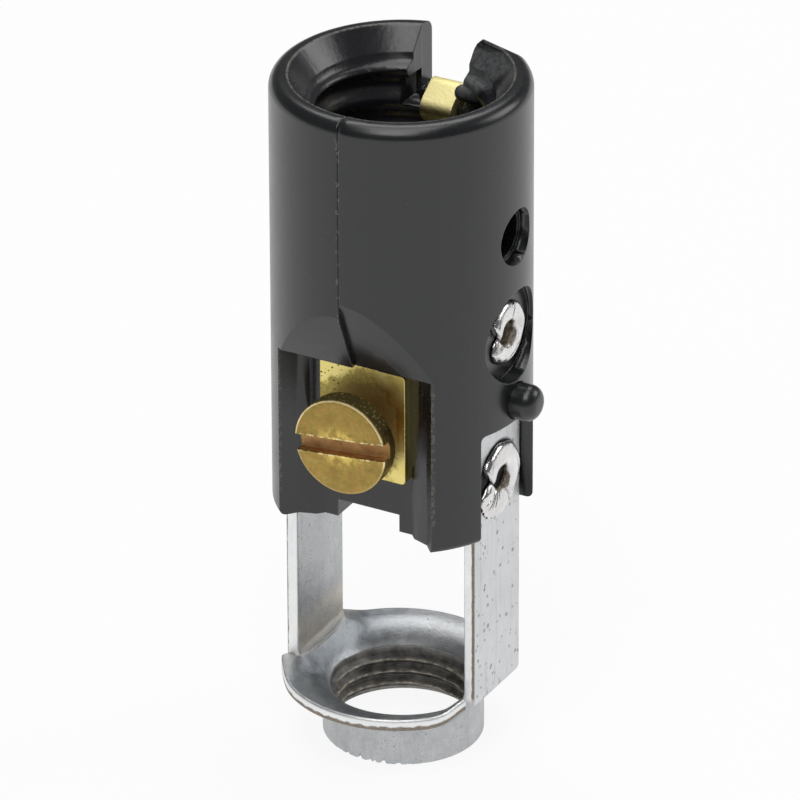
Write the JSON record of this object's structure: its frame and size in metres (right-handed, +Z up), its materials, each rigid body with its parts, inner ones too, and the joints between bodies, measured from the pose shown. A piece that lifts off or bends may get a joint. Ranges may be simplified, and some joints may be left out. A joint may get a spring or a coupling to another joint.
{
  "type": "candelabra lamp holder",
  "caption": "Moulded two-part socket body for a small screw-base lamp, riveted to a two-legged sheet-metal bracket with a threaded hub; one backed-out terminal screw on each side.",
  "frame": {"origin": "on the lamp's axis, at the lower face of the bracket's threaded hub", "axes": "+Z up the lamp's axis to the socket's mouth; +X towards the stud and the clinched rivets; -Y towards the front terminal screw"},
  "size_m": [0.0197, 0.018, 0.0508],
  "materials": {
    "phenolic": "semi-gloss black moulded phenolic",
    "zinc_plate": "mottled zinc-plated sheet steel",
    "nickel_plate": "bright nickel plate",
    "brass": "bright sheet brass, tarnished round the screw",
    "dull_brass": "dull, aged brass"
  },
  "bodies": {
    "holder": {"body_left": "phenolic", "body_right": "phenolic", "bracket": "zinc_plate", "upper_rivet": "nickel_plate", "lower_rivet": "nickel_plate", "centre_contact": "brass", "side_contact": "brass"},
    "front_screw": {"front_terminal_screw": "dull_brass"},
    "rear_screw": {"rear_terminal_screw": "nickel_plate"}
  },
  "joints": [
    {"name": "front_screw_travel", "type": "slide", "parent": "holder", "child": "front_screw", "axis": [0, 1, 0], "range_m": [0, 0.0016]},
    {"name": "rear_screw_travel", "type": "slide", "parent": "holder", "child": "rear_screw", "axis": [0, -1, 0], "range_m": [0, 0.0016]}
  ]
}
